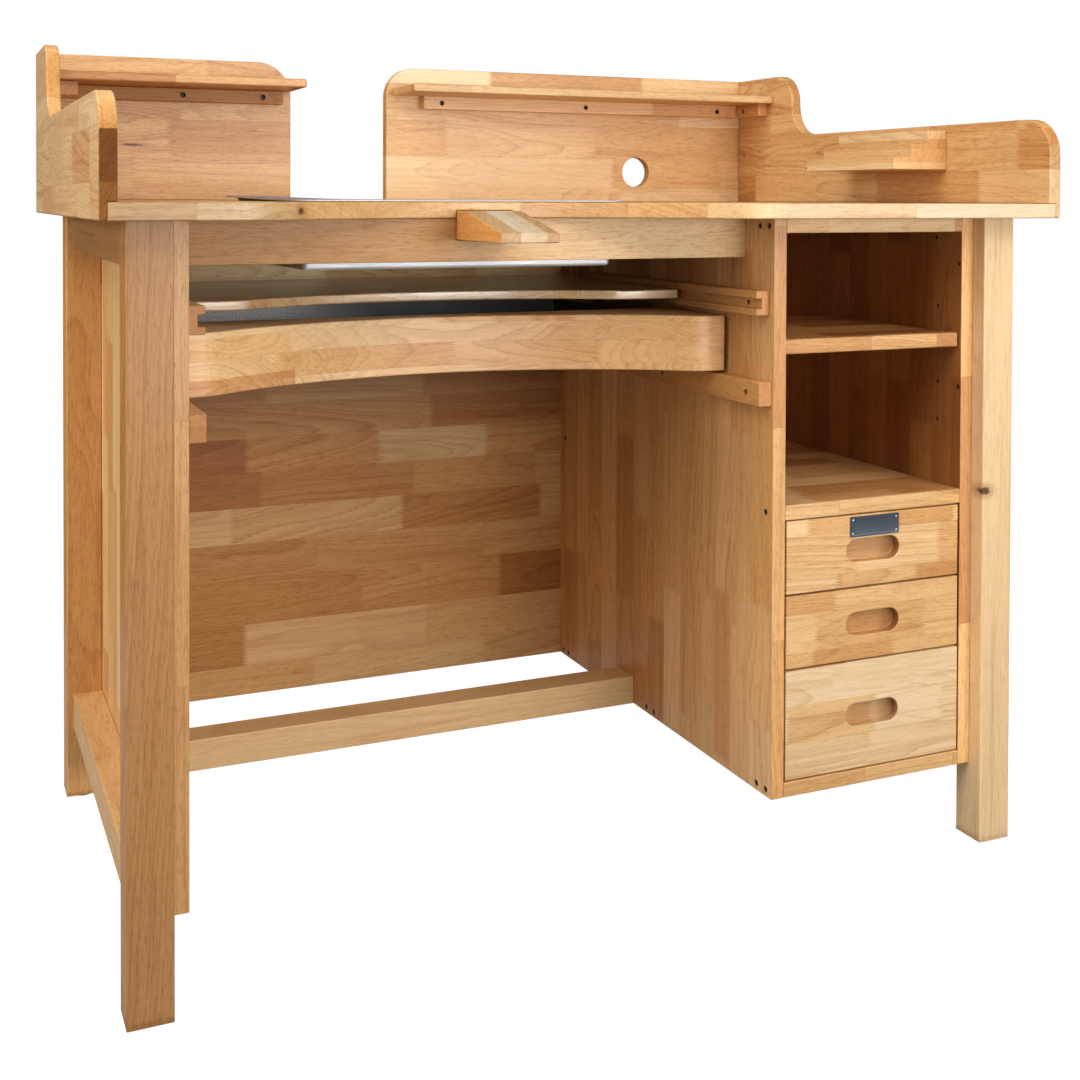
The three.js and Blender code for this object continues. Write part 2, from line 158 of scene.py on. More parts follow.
# ------------------------------------------------------------------ laminated wood
def make_wood_group():
    """Solid wood glued up from strips, each strip finger-jointed from short blocks. Every block is a cut from its own tree:
    tone, ring centre and slope differ. In: place along the grain, across the strips and through the thickness, in metres."""
    t = bpy.data.node_groups.new("laminated_wood", "ShaderNodeTree")
    face = t.interface
    face.new_socket("Place", in_out="INPUT", socket_type="NodeSocketVector")
    for n, d in (("End", 0.0), ("Seed", 0.0), ("Strip", 0.065), ("Block", 0.3), ("Tone", 0.0), ("Spread", 1.0), ("Figure", 1.0), ("PaintedSheen", 0.0)):
        face.new_socket(n, in_out="INPUT", socket_type="NodeSocketFloat").default_value = d
    face.new_socket("Color", in_out="OUTPUT", socket_type="NodeSocketColor")
    face.new_socket("Roughness", in_out="OUTPUT", socket_type="NodeSocketFloat")
    face.new_socket("Height", in_out="OUTPUT", socket_type="NodeSocketFloat")
    g = Graph(t)
    gi = g.new("NodeGroupInput").outputs
    l, w, d = g.split(gi["Place"])
    seed, strip, block, end = gi["Seed"], gi["Strip"], gi["Block"], gi["End"]

    # strips across the board
    ws = g.mad(seed, 7.137, g.div(w, strip))
    s_col, s_pos, s_edge = g.cells(ws, 0.5)
    sr, sg, sb = g.rgb(s_col)
    lw = g.mul(g.sub(ws, s_pos), strip)
    # blocks along each strip, with a finger-jointed end
    zig = g.mul(g.sub(g.math("PINGPONG", g.div(w, 0.0021), 1.0), 0.5), 0.011)
    ls = g.add(g.mad(seed, 3.771, g.div(g.add(l, zig), block)), g.mad(sr, 611.7, g.mul(sg, 173.3)))
    b_col, b_pos, b_edge = g.cells(ls, 0.85)
    br, bg, bb = g.rgb(b_col)
    ll = g.mul(g.sub(ls, b_pos), block)

    # growth rings about a centre line of the block's own, waving along the grain
    shift = g.xyz(g.mul(br, 31.0), g.mul(bg, 47.0), g.mul(bb, 59.0))
    slow = g.noise3(g.vec("ADD", g.xyz(g.mul(l, 2.0), g.mul(w, 8.0), g.mul(d, 8.0)), shift), 1.0, 2.0, 0.45)
    curl = g.noise3(g.vec("ADD", g.xyz(g.mul(l, 6.5), g.mul(w, 30.0), g.mul(d, 30.0)), shift), 1.0, 2.0, 0.5)
    w0 = g.mul(g.sub(br, 0.5), 0.10)
    d0 = g.mad(bg, 0.10, 0.010)
    dw, dd = g.sub(lw, w0), g.add(d, d0)
    rad = g.math("SQRT", g.add(g.mul(dw, dw), g.mul(dd, dd)))
    rad = g.add(rad, g.mul(g.sub(slow, 0.5), 0.050))
    rad = g.add(rad, g.mul(g.sub(curl, 0.5), 0.0055))
    rad = g.mad(ll, g.mul(g.sub(bb, 0.5), 0.16), rad)
    uneven = g.noise1(g.mad(br, 91.0, g.mul(rad, 60.0)), 1.0, 1.0, 0.5)
    ring = g.math("FRACT", g.mad(uneven, 2.6, g.mul(rad, 125.0)))
    late = g.mul(g.step(ring, 0.25, 0.93), g.step(ring, 0.93, 1.0, 1.0, 0.0))
    line = g.mul(g.step(ring, 0.80, 0.95), g.step(ring, 0.955, 1.0, 1.0, 0.0))
    broad = g.noise1(g.mad(bg, 77.0, g.mul(rad, 40.0)), 1.0, 1.0, 0.5)
    vivid = g.mul(g.mad(bb, 0.75, 0.30), gi["Figure"])

    # fibres, pores and clouding
    fibre = g.noise3(g.vec("ADD", g.xyz(g.mul(l, 20.0), g.mul(w, 480.0), g.mul(d, 480.0)), shift), 1.0, 2.0, 0.6)
    pore = g.step(g.noise3(g.vec("ADD", g.xyz(g.mul(l, 75.0), g.mul(w, 860.0), g.mul(d, 860.0)), shift), 1.0, 1.0, 0.5), 0.57, 0.70)
    dash = g.step(g.noise3(g.vec("ADD", g.xyz(g.mul(l, 42.0), g.mul(w, 330.0), g.mul(d, 330.0)), shift), 1.0, 1.0, 0.5), 0.54, 0.70)
    streak = g.noise3(g.vec("ADD", g.xyz(g.mul(l, 3.0), g.mul(w, 85.0), g.mul(d, 85.0)), shift), 1.0, 2.0, 0.55)
    cloud = g.noise3(g.vec("ADD", g.xyz(g.mul(l, 9.0), g.mul(w, 24.0), g.mul(d, 24.0)), shift), 1.0, 3.0, 0.6)

    # one tone per block
    dice = g.new("ShaderNodeTexWhiteNoise", noise_dimensions="2D")
    g.put(dice.inputs["Vector"], g.xyz(g.mul(bg, 13.7), g.mad(bb, 5.3, sb), 0.0))
    d1, d2, d3 = g.rgb(dice.outputs["Color"])
    tone = g.mul(g.sub(g.mul(g.add(d1, d2), 0.5), 0.5), 1.35)
    tone = g.add(g.mad(tone, gi["Spread"], 0.42), gi["Tone"])
    col = g.ramp(tone, [
        (0.00, lin(235, 202, 154)), (0.25, lin(228, 187, 131)), (0.48, lin(218, 170, 110)),
        (0.70, lin(203, 149, 89)), (0.87, lin(182, 124, 70)), (1.00, lin(150, 96, 53)),
    ])
    # painted sheen: the wash input pales and cools the colour, standing in for highlight and sheen
    col = g.mix(gi["PaintedSheen"], col, g.mix(1.0, col, (0.99, 1.075, 1.21), "MULTIPLY"))
    col = g.mix(g.mul(d3, 0.55), col, g.mix(1.0, col, (1.03, 0.93, 0.82), "MULTIPLY"))
    col = g.mix(g.mul(g.step(broad, 0.44, 0.72), g.mul(vivid, 0.42)), col, g.mix(1.0, col, (0.80, 0.67, 0.53), "MULTIPLY"))
    col = g.mix(g.mul(late, g.mul(vivid, 0.42)), col, g.mix(1.0, col, (0.76, 0.62, 0.47), "MULTIPLY"))
    col = g.mix(g.mul(line, g.mul(vivid, 0.34)), col, g.mix(1.0, col, (0.62, 0.47, 0.33), "MULTIPLY"))
    col = g.mix(g.step(streak, 0.50, 0.76, 0.0, 0.50), col, g.mix(1.0, col, (0.76, 0.63, 0.49), "MULTIPLY"))
    col = g.mix(g.step(cloud, 0.50, 0.24, 0.0, 0.34), col, g.mix(1.0, col, (1.10, 1.11, 1.11), "MULTIPLY"))
    col = g.mix(g.step(cloud, 0.56, 0.80, 0.0, 0.30), col, g.mix(1.0, col, (0.84, 0.74, 0.62), "MULTIPLY"))
    col = g.mix(g.step(fibre, 0.42, 0.74, 0.0, 0.36), col, g.mix(1.0, col, (0.78, 0.67, 0.54), "MULTIPLY"))
    # pale blocks show fewer pores
    shown = g.step(tone, 0.0, 0.50, 0.30, 1.0)
    col = g.mix(g.mul(g.mul(dash, shown), 0.34), col, g.mix(1.0, col, (0.66, 0.50, 0.36), "MULTIPLY"))
    col = g.mix(g.mul(g.mul(pore, shown), 0.46), col, g.mix(1.0, col, (0.55, 0.40, 0.28), "MULTIPLY"))
    # end grain drinks more finish
    col = g.mix(g.mul(end, 0.85), col, g.mix(1.0, col, (0.86, 0.74, 0.58), "MULTIPLY"))
    # glue lines
    seam = g.step(g.mul(s_edge, strip), 0.0001, 0.0009, 1.0, 0.0)
    joint = g.step(g.mul(b_edge, block), 0.0002, 0.0012, 1.0, 0.0)
    glue = g.math("MAXIMUM", g.mul(seam, 0.22), g.mul(joint, 0.26))
    col = g.mix(glue, col, g.mix(1.0, col, (0.55, 0.40, 0.28), "MULTIPLY"))
    rough = g.add(g.mad(cloud, 0.14, 0.34), g.add(g.mul(pore, 0.10), g.mul(end, 0.08)))
    height = g.sub(g.mul(fibre, 0.35), g.add(g.mul(pore, 0.8), g.mul(glue, 1.2)))
    o = g.new("NodeGroupOutput").inputs
    g.put(o["Color"], col)
    g.put(o["Roughness"], rough)
    g.put(o["Height"], height)
    return t


WOOD = make_wood_group()
AXES = {"x": 0, "y": 1, "z": 2}


def wood(name, centre, grain, across, strip=0.065, block=0.30, seed=0.0, tone=0.0, spread=1.0, figure=1.0, painted_sheen=0.0, knots=(), hole_shade=(), block_and_light_tints=(), coat=(0.10, 0.30), spec=0.45):
    m = bpy.data.materials.new(name)
    m.use_nodes = True
    g = Graph(m.node_tree)
    b = m.node_tree.nodes["Principled BSDF"]
    tc = g.new("ShaderNodeTexCoord")
    p = g.vec("SUBTRACT", tc.outputs["Object"], tuple(centre))
    c = g.split(p)
    k = ({"x", "y", "z"} - {grain, across}).pop()
    nrm = g.split(tc.outputs["Normal"])
    q = g.new("ShaderNodeGroup", node_tree=WOOD)
    g.put(q.inputs["Place"], g.xyz(c[AXES[grain]], c[AXES[across]], c[AXES[k]]))
    g.put(q.inputs["End"], g.step(g.math("ABSOLUTE", nrm[AXES[grain]]), 0.55, 0.9))
    for n, v in (("Seed", seed), ("Strip", strip), ("Block", block), ("Tone", tone), ("Spread", spread), ("Figure", figure), ("PaintedSheen", painted_sheen)):
        q.inputs[n].default_value = v
    col = q.outputs["Color"]
    for place, size, stretch in knots:
        v = g.vec("SUBTRACT", tc.outputs["Object"], tuple(place))
        v = g.vec("MULTIPLY", v, tuple(1 / (size * s) for s in stretch))
        r = g.add(g.vec("LENGTH", v), g.mul(g.sub(g.noise3(tc.outputs["Object"], 260.0, 2.0), 0.5), 0.9))
        col = g.mix(g.step(r, 0.6, 2.6, 0.55, 0.0), col, lin(165, 100, 54))
        col = g.mix(g.step(r, 0.55, 1.0, 0.92, 0.0), col, lin(78, 36, 22))
    # painted shade: the wall and the bottom of a drilled hole are painted near-black; rows of holes repeat along Z
    for face, way, ys, z0, pitch in hole_shade:
        o = g.split(tc.outputs["Object"])
        dz = g.mul(g.math("PINGPONG", g.div(g.sub(o[2], z0), pitch), 0.5), pitch)
        dy = [g.math("ABSOLUTE", g.sub(o[1], y)) for y in ys]
        dy = g.math("MINIMUM", *dy)
        near = g.step(g.math("SQRT", g.add(g.mul(dy, dy), g.mul(dz, dz))), 0.0029, 0.0032, 1.0, 0.0)
        deep = g.mul(g.sub(o[0], face), way)
        near = g.mul(near, g.mul(g.step(deep, 0.0001, 0.0012), g.step(deep, 0.0125, 0.0135, 1.0, 0.0)))
        col = g.mix(g.mul(near, 0.93), col, (0.020, 0.012, 0.008))
    # a tinted box: limits of a box, None where it has none, and how softly they run out. Some boxes are blocks of other
    # wood, many are painted shade, highlight and sheen
    for lo, hi, tint, soft in block_and_light_tints:
        o = g.split(tc.outputs["Object"])
        soft = soft if isinstance(soft, tuple) else (soft,) * 3
        near = [g.step(g.mul(g.sub(o[a], v), way), -soft[a], soft[a]) for lim, way in ((lo, 1.0), (hi, -1.0)) for a, v in enumerate(lim) if v is not None]
        fac = near[0]
        for v in near[1:]:
            fac = g.mul(fac, v)
        col = g.mix(fac, col, g.mix(1.0, col, tint, "MULTIPLY"))
    g.put(b.inputs["Base Color"], col)
    g.put(b.inputs["Roughness"], q.outputs["Roughness"])
    bump = g.new("ShaderNodeBump")
    bump.inputs["Strength"].default_value = 0.35
    bump.inputs["Distance"].default_value = 0.00035
    g.put(bump.inputs["Height"], q.outputs["Height"])
    g.put(b.inputs["Normal"], bump.outputs[0])
    b.inputs["Specular IOR Level"].default_value = spec
    b.inputs["Coat Weight"].default_value, b.inputs["Coat Roughness"].default_value = coat
    return m


def metal(name, colour, rough, brushed="x", speck=0.0, metallic=1.0, dark=(0.6, 0.6, 0.6), shade=()):
    m = bpy.data.materials.new(name)
    m.use_nodes = True
    g = Graph(m.node_tree)
    b = m.node_tree.nodes["Principled BSDF"]
    tc = g.new("ShaderNodeTexCoord")
    x, y, z = g.split(tc.outputs["Object"])
    s = {"x": (9.0, 900.0, 900.0), "y": (900.0, 9.0, 900.0), "z": (900.0, 900.0, 9.0)}[brushed]
    hair = g.noise3(g.xyz(g.mul(x, s[0]), g.mul(y, s[1]), g.mul(z, s[2])), 1.0, 2.0, 0.6)
    cloud = g.noise3(tc.outputs["Object"], 11.0, 4.0, 0.6)
    col = g.mix(g.step(hair, 0.35, 0.7, 0.0, 0.4), colour, tuple(c * d for c, d in zip(colour, dark)))
    col = g.mix(g.step(cloud, 0.45, 0.75, 0.0, 0.3), col, tuple(c * d for c, d in zip(colour, dark)))
    if speck:
        v = g.noise3(tc.outputs["Object"], 360.0, 2.0, 0.7)
        col = g.mix(g.step(v, 0.56, 0.68, 0.0, speck), col, (0.004, 0.004, 0.004))
        v = g.noise3(tc.outputs["Object"], 330.0, 1.0, 0.7)
        col = g.mix(g.step(v, 0.66, 0.74, 0.0, speck * 0.6), col, (0.30, 0.31, 0.32))
    # painted shade: the colour darkens by the tint from x0 to x1 along X
    for x0, x1, tint in shade:
        col = g.mix(g.step(x, x0, x1), col, g.mix(1.0, col, tint, "MULTIPLY"))
    g.put(b.inputs["Base Color"], col)
    g.put(b.inputs["Roughness"], g.add(g.mad(hair, 0.14, rough - 0.10), g.mul(cloud, 0.08)))
    b.inputs["Metallic"].default_value = metallic
    bump = g.new("ShaderNodeBump")
    bump.inputs["Strength"].default_value = 0.12
    bump.inputs["Distance"].default_value = 0.0002
    g.put(bump.inputs["Height"], g.add(hair, cloud))
    g.put(b.inputs["Normal"], bump.outputs[0])
    return m


def plastic(name, colour):
    m = bpy.data.materials.new(name)
    m.use_nodes = True
    g = Graph(m.node_tree)
    b = m.node_tree.nodes["Principled BSDF"]
    tc = g.new("ShaderNodeTexCoord")
    n = g.noise3(tc.outputs["Object"], 900.0, 2.0, 0.6)
    dust = g.noise3(tc.outputs["Object"], 60.0, 3.0, 0.6)
    g.put(b.inputs["Base Color"], g.mix(g.step(dust, 0.5, 0.8, 0.0, 0.5), colour, tuple(c * 2.2 + 0.01 for c in colour)))
    g.put(b.inputs["Roughness"], g.mad(n, 0.15, 0.48))
    bump = g.new("ShaderNodeBump")
    bump.inputs["Strength"].default_value = 0.2
    bump.inputs["Distance"].default_value = 0.0002
    g.put(bump.inputs["Height"], n)
    g.put(b.inputs["Normal"], bump.outputs[0])
    return m


# ------------------------------------------------------------------ rounded arrises on the CAD nodes
def make_edge_group():
    """Smooth shading, and a bevel weight on each sharp edge. Mask says how far edges along X, Y and Z are rounded."""
    t = bpy.data.node_groups.new("edge_weights", "GeometryNodeTree")
    t.interface.new_socket("Geometry", in_out="INPUT", socket_type="NodeSocketGeometry")
    t.interface.new_socket("Mask", in_out="INPUT", socket_type="NodeSocketVector").default_value = (1, 1, 1)
    t.interface.new_socket("Geometry", in_out="OUTPUT", socket_type="NodeSocketGeometry")
    n, k = t.nodes.new, t.links.new
    gi, go = n("NodeGroupInput"), n("NodeGroupOutput")
    ev = n("GeometryNodeInputMeshEdgeVertices")
    ang = n("GeometryNodeInputMeshEdgeAngle")
    sub = n("ShaderNodeVectorMath"); sub.operation = "SUBTRACT"
    k(ev.outputs["Position 1"], sub.inputs[0]); k(ev.outputs["Position 2"], sub.inputs[1])
    length = n("ShaderNodeVectorMath"); length.operation = "LENGTH"
    k(sub.outputs[0], length.inputs[0])
    unit = n("ShaderNodeVectorMath"); unit.operation = "NORMALIZE"
    k(sub.outputs[0], unit.inputs[0])
    masked = n("ShaderNodeVectorMath"); masked.operation = "MULTIPLY"
    k(unit.outputs[0], masked.inputs[0]); k(gi.outputs["Mask"], masked.inputs[1])
    weight = n("ShaderNodeVectorMath"); weight.operation = "LENGTH"
    k(masked.outputs[0], weight.inputs[0])
    sharp = n("FunctionNodeCompare"); sharp.data_type = "FLOAT"; sharp.operation = "GREATER_THAN"
    k(ang.outputs["Unsigned Angle"], sharp.inputs[0]); sharp.inputs[1].default_value = 0.6
    long = n("FunctionNodeCompare"); long.data_type = "FLOAT"; long.operation = "GREATER_THAN"
    k(length.outputs["Value"], long.inputs[0]); long.inputs[1].default_value = 0.0026
    both = n("FunctionNodeBooleanMath"); both.operation = "AND"
    k(sharp.outputs[0], both.inputs[0]); k(long.outputs[0], both.inputs[1])
    only = n("FunctionNodeBooleanMath"); only.operation = "NIMPLY"
    k(sharp.outputs[0], only.inputs[0]); k(long.outputs[0], only.inputs[1])
    w2 = n("ShaderNodeMath"); w2.operation = "MULTIPLY"
    k(weight.outputs["Value"], w2.inputs[0]); k(both.outputs[0], w2.inputs[1])
    s1 = n("GeometryNodeSetShadeSmooth"); s1.domain = "FACE"
    s2 = n("GeometryNodeSetShadeSmooth"); s2.domain = "EDGE"
    k(gi.outputs["Geometry"], s1.inputs["Geometry"])
    s1.inputs["Shade Smooth"].default_value = True
    k(s1.outputs[0], s2.inputs["Geometry"])
    k(only.outputs[0], s2.inputs["Selection"])
    s2.inputs["Shade Smooth"].default_value = False
    st = n("GeometryNodeStoreNamedAttribute"); st.data_type = "FLOAT"; st.domain = "EDGE"
    k(s2.outputs[0], st.inputs["Geometry"])
    st.inputs["Name"].default_value = "bevel_weight_edge"
    k(w2.outputs[0], st.inputs["Value"])
    k(st.outputs[0], go.inputs["Geometry"])
    return t


EDGES = make_edge_group()
MASK_ID = [i.identifier for i in EDGES.interface.items_tree if i.name == "Mask"][0]


def soften(o, width, mask=(1, 1, 1), segments=3):
    w = o.modifiers.new("weld", "WELD"); w.merge_threshold = 1e-5
    d = o.modifiers.new("flat", "DECIMATE"); d.decimate_type = "DISSOLVE"; d.angle_limit = 0.01
    e = o.modifiers.new("edges", "NODES"); e.node_group = EDGES; e[MASK_ID] = mask
    b = o.modifiers.new("arris", "BEVEL")
    b.limit_method = "WEIGHT"; b.width = width; b.segments = segments; b.harden_normals = True
    b.use_clamp_overlap = True
    n = o.modifiers.new("normals", "WEIGHTED_NORMAL"); n.keep_sharp = True; n.weight = 100


# node: grain, across, strip, block, tone, spread, figure, arris, mask
ALL, VERT, NO_Z = (1, 1, 1), (0.12, 0.12, 1), (1, 1, 0.3)
# the tones of cabinet_right_side, cabinet_back, left_ledge_cleat and left_side_cleat are set darker as painted shade,
# inside the cabinet and under the left ledge
PLAN = {
    "front_left_leg": ("z", "x", 9, 30, .52, .3, .8, .0028, VERT), "front_right_leg": ("z", "x", 9, 30, -.40, .3, .30, .0028, VERT),
    "rear_left_leg": ("z", "y", 9, 30, .12, .3, .6, .0028, VERT), "rear_right_leg": ("z", "y", 9, 30, 0, .4, .6, .0028, VERT),
    "left_side_apron": ("y", "z", 9, .9, .16, .5, .7, .0015, ALL), "right_side_apron": ("y", "z", 9, .9, 0, .5, .7, .0015, ALL),
    "left_side_stretcher": ("y", "z", 9, .7, .02, .5, .7, .0018, ALL), "right_side_stretcher": ("y", "z", 9, .7, 0, .5, .7, .0018, ALL),
    "left_side_panel": ("z", "y", .062, .34, .0, .7, 1, .0014, ALL), "knee_back_panel": ("x", "z", .066, .30, .10, .95, 1, .0014, ALL),
    "knee_stretcher": ("x", "z", 9, 30, -.02, .4, .8, .0018, ALL), "front_apron": ("x", "z", 9, 30, .16, .2, .6, .0012, ALL),
    "table_top": ("x", "y", .062, .22, -.02, .9, 1, .0022, ALL), "left_gallery_end": ("y", "z", .070, .22, .04, .28, 1, .0026, ALL),
    "right_gallery_end": ("y", "z", .062, .24, .04, .5, 1.3, .0026, ALL), "left_back_board": ("x", "z", .064, .30, .10, .45, 1.4, .0024, ALL),
    "right_back_board": ("x", "z", .062, .28, -.08, .7, 1, .0024, ALL), "left_ledge": ("x", "y", .07, .42, .40, .6, .8, .0034, ALL),
    "right_ledge": ("x", "y", .07, .36, -.08, .7, .8, .0026, ALL), "left_ledge_cleat": ("x", "z", 9, .5, .22, .5, .7, .0018, ALL),
    "right_ledge_cleat": ("x", "z", 9, .5, 0, .5, .7, .0018, ALL), "left_side_cleat": ("y", "z", 9, .4, .34, .5, .7, .0018, ALL),
    "right_side_cleat": ("y", "z", 9, .4, .08, .5, .7, .0018, ALL), "stepped_tool_rest": ("y", "z", .0205, .5, -.2, .7, .8, .0014, ALL),
    "cabinet_left_side": ("z", "y", .056, .30, .06, .55, 1, .0014, ALL), "cabinet_right_side": ("z", "y", .056, .30, .34, .3, 1, .0014, ALL),
    "cabinet_back": ("x", "z", .066, .3, .44, .3, 1, .001, ALL), "cabinet_top": ("x", "y", .06, .2, 0, .7, 1, .0014, ALL),
    "cabinet_bottom": ("x", "y", .06, .2, -.04, .7, 1, .0014, ALL), "fixed_shelf": ("x", "y", .05, .17, .02, .8, 1, .0014, ALL),
    "adjustable_shelf": ("x", "y", .05, .17, .30, .8, 1, .0020, ALL),
    "upper_left_rail": ("y", "z", 9, .6, .34, .5, .7, .0012, ALL), "upper_right_rail": ("y", "z", 9, .6, .34, .5, .7, .0012, ALL),
    "lower_left_rail": ("y", "z", 9, .6, .18, .5, .7, .0020, ALL), "lower_right_rail": ("y", "z", 9, .6, .18, .5, .7, .0020, ALL),
    "pull_out_board": ("x", "y", .06, .25, -.34, .7, 1, .0022, ALL), "tray_front": ("x", "z", .029, .22, -.36, .8, 1.1, .0024, ALL),
    "tray_left_side": ("y", "z", 9, .4, .05, .5, .7, .0012, ALL), "tray_right_side": ("y", "z", 9, .4, .05, .5, .7, .0012, ALL),
    "tray_back": ("x", "z", 9, .4, .05, .5, .7, .0012, ALL), "bench_pin": ("y", "x", .0210, .8, .02, .9, 1, .0016, ALL),
}
for i in (1, 2, 3):
    PLAN[f"drawer_{i}_front"] = ("x", "z", .052, .16, (0, -.06, -.12, 0)[i], .7, 1, .0020, ALL)
    PLAN[f"drawer_{i}_box"] = ("y", "z", 9, .4, -.05, .4, .6, .0010, ALL)
    PLAN[f"drawer_{i}_bottom"] = ("x", "y", 9, 30, -.1, .3, .6, .0005, ALL)
for i in (1, 2):
    for s in ("left", "right"):
        PLAN[f"drawer_{i}_{s}_runner"] = ("y", "z", 9, .5, .05, .5, .6, .0010, ALL)
PLAN["drawer_3_front"] = ("x", "z", .052, .16, -.38, .7, 1, .0020, ALL)
SEEDS = {}
# painted sheen: how far a board's colour is paled and cooled, standing in for highlight and sheen from the lights
PAINTED_SHEEN = {
    "front_right_leg": .9, "right_back_board": .8, "left_back_board": .9, "table_top": .9, "front_apron": .35, "tray_front": .05, "bench_pin": .9, "left_side_apron": .8, "left_side_stretcher": .8, "stepped_tool_rest": .6, "left_gallery_end": .8,
    "right_gallery_end": .5, "left_side_panel": .3, "drawer_3_front": .7, "left_ledge": .6, "right_ledge": .8, "pull_out_board": 1.0, "front_left_leg": .1,
}
PIN_ROWS = (P(0, 82, 0).y, P(0, 395, 0).y)
# painted shade inside the shelf-pin holes of the cabinet sides
HOLE_SHADE = {
    "cabinet_left_side": [(P(942, 0, 0).x, -1, PIN_ROWS, P(0, 0, 651).z, .060)],
    "cabinet_right_side": [(P(1263, 0, 0).x, 1, PIN_ROWS, P(0, 0, 651).z, .060)],
}
KNOTS = {
    "right_gallery_end": [(P(1358, 820.2, 1089.6), .0026, (2.0, 1.0, 1.0))],
    "left_back_board": [(P(122, 840, 1091.4), .0034, (6.0, 2.0, 0.8))],
    "front_right_leg": [(P(1289.6, 0, 548.5), .0084, (1.25, 2.5, 0.85))],
    "table_top": [(P(208.5, -12, 983), .0045, (1.2, 9.0, 1.25))],
}
HARD = 0.0005
ANY = (None, None, None)
KNEE_MID = sum(v.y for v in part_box("knee_back_panel")) / 2
BLOCK_AND_LIGHT_TINTS = {
    "left_gallery_end": [((None, None, P(0, 0, 1016.6).z), (None, P(0, -58.0, 0).y, P(0, 0, 1078).z), (0.30, 0.19, 0.09), HARD),
                         (ANY, (None, P(0, -58.0, 0).y, P(0, 0, 1016.6).z), (0.46, 0.35, 0.21), HARD),
                         ((None, None, P(0, 0, 1078).z), (None, P(0, -58.0, 0).y, None), (0.92, 0.82, 0.70), HARD),
                         # painted sheen: the outer face is paler and cooler
                         (ANY, (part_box("left_gallery_end")[0].x + .0008, None, None), (0.87, 0.95, 1.16), HARD)],
    # painted sheen: the front end is paler and cooler
    "right_gallery_end": [(ANY, (None, P(0, -58.0, 0).y, None), (1.02, 1.24, 1.58), HARD)],
    # painted sheen: the front edge right of X 880 is paler and cooler; the second box softly darkens and cools the left
    # front
    "table_top": [((P(880, 0, 0).x, None, None), (None, P(0, -57.0, 0).y, None), (1.0, 1.06, 1.34), HARD),
                  (ANY, (P(330, 0, 0).x, P(0, -20, 0).y, None), (0.75, 0.80, 0.88), .06)],
    # a darker, warmer block at the lower left; then painted light on the left and painted shade on the right, darker
    # and warmer towards the right
    "tray_front": [(ANY, (P(262, 0, 0).x, None, P(0, 0, 757).z), (0.80, 0.62, 0.50), HARD),
                   (ANY, (P(500, 0, 0).x, None, None), (1.13, 1.12, 1.10), .25), ((P(500, 0, 0).x, None, None), ANY, (0.94, 0.80, 0.66), .25)],
    # painted shade on the left part, where the overhang and the bench pin shade it; painted sheen on the right part,
    # paler and cooler
    "front_apron": [(ANY, (P(470, 0, 0).x, None, None), (0.71, 0.62, 0.41), .16), ((P(560, 0, 0).x, None, None), ANY, (1.05, 1.26, 1.62), .16)],
    # painted shade on the front face below the slot, darkest under the tray; painted light and sheen in the slot above
    # Z 845
    "knee_back_panel": [(ANY, (None, KNEE_MID, P(0, 0, 845).z), (0.85, 0.78, 0.70), (HARD, HARD, .006)),
                        ((None, None, P(0, 0, 620).z), (None, KNEE_MID, P(0, 0, 845).z), (0.40, 0.30, 0.20), (HARD, HARD, .10)),
                        ((None, None, P(0, 0, 845).z), (None, KNEE_MID, None), (1.60, 2.25, 3.20), (HARD, HARD, .006))],
    # painted light: the side is brighter towards the bottom
    "cabinet_left_side": [(ANY, (None, None, P(0, 0, 420).z), (1.16, 1.12, 1.10), .16)],
    # painted sheen on the front edge, paler and cooler; painted shade on the inner face inside the cabinet; the outer
    # face lifted back paler against the darker tone
    "cabinet_right_side": [(ANY, (None, P(0, 26.9, 0).y, None), (1.52, 1.90, 2.45), HARD), ((None, P(0, 27.4, 0).y, None), (P(1274, 0, 0).x, None, None), (0.72, 0.62, 0.50), HARD),
                           ((P(1274, 0, 0).x, P(0, 27.4, 0).y, None), ANY, (1.50, 1.68, 1.90), HARD)],
    # painted shade: the inner face is darker inside the cabinet; the outer face is lifted back paler against the darker
    # tone
    "cabinet_back": [(ANY, (None, P(0, 782, 0).y, None), (0.80, 0.72, 0.62), HARD), ((None, P(0, 782, 0).y, None), ANY, (1.65, 1.95, 2.30), HARD)],
    "front_left_leg": [((None, None, P(0, 0, -50).z), ANY, (0.88, 0.94, 1.0), HARD)],
    # painted shade under the left ledge
    "left_ledge_cleat": [((None, None, P(0, 0, 1100).z), ANY, (0.68, 0.60, 0.36), HARD)],
    # painted shade: the outer face is darker and cooler
    "left_side_apron": [(ANY, (P(10.8, 0, 0).x, None, None), (0.70, 0.69, 0.76), HARD)],
    # painted light: the top face is much brighter and paler
    "upper_left_rail": [((None, None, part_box("upper_left_rail")[1].z - 0.0006), ANY, (1.70, 2.10, 2.60), HARD)],
    # painted light: the left face deeper orange, the other faces paler and cooler as painted sheen
    "bench_pin": [(ANY, (P(457, 0, 0).x, None, None), (1.04, 0.78, 0.52), HARD), ((P(457, 0, 0).x, None, None), ANY, (0.86, 0.95, 1.16), HARD)],
    # painted sheen: the front edge is paler and cooler
    "right_ledge": [(ANY, (None, P(0, 713.5, 0).y, None), (1.0, 1.09, 1.22), HARD)],
}
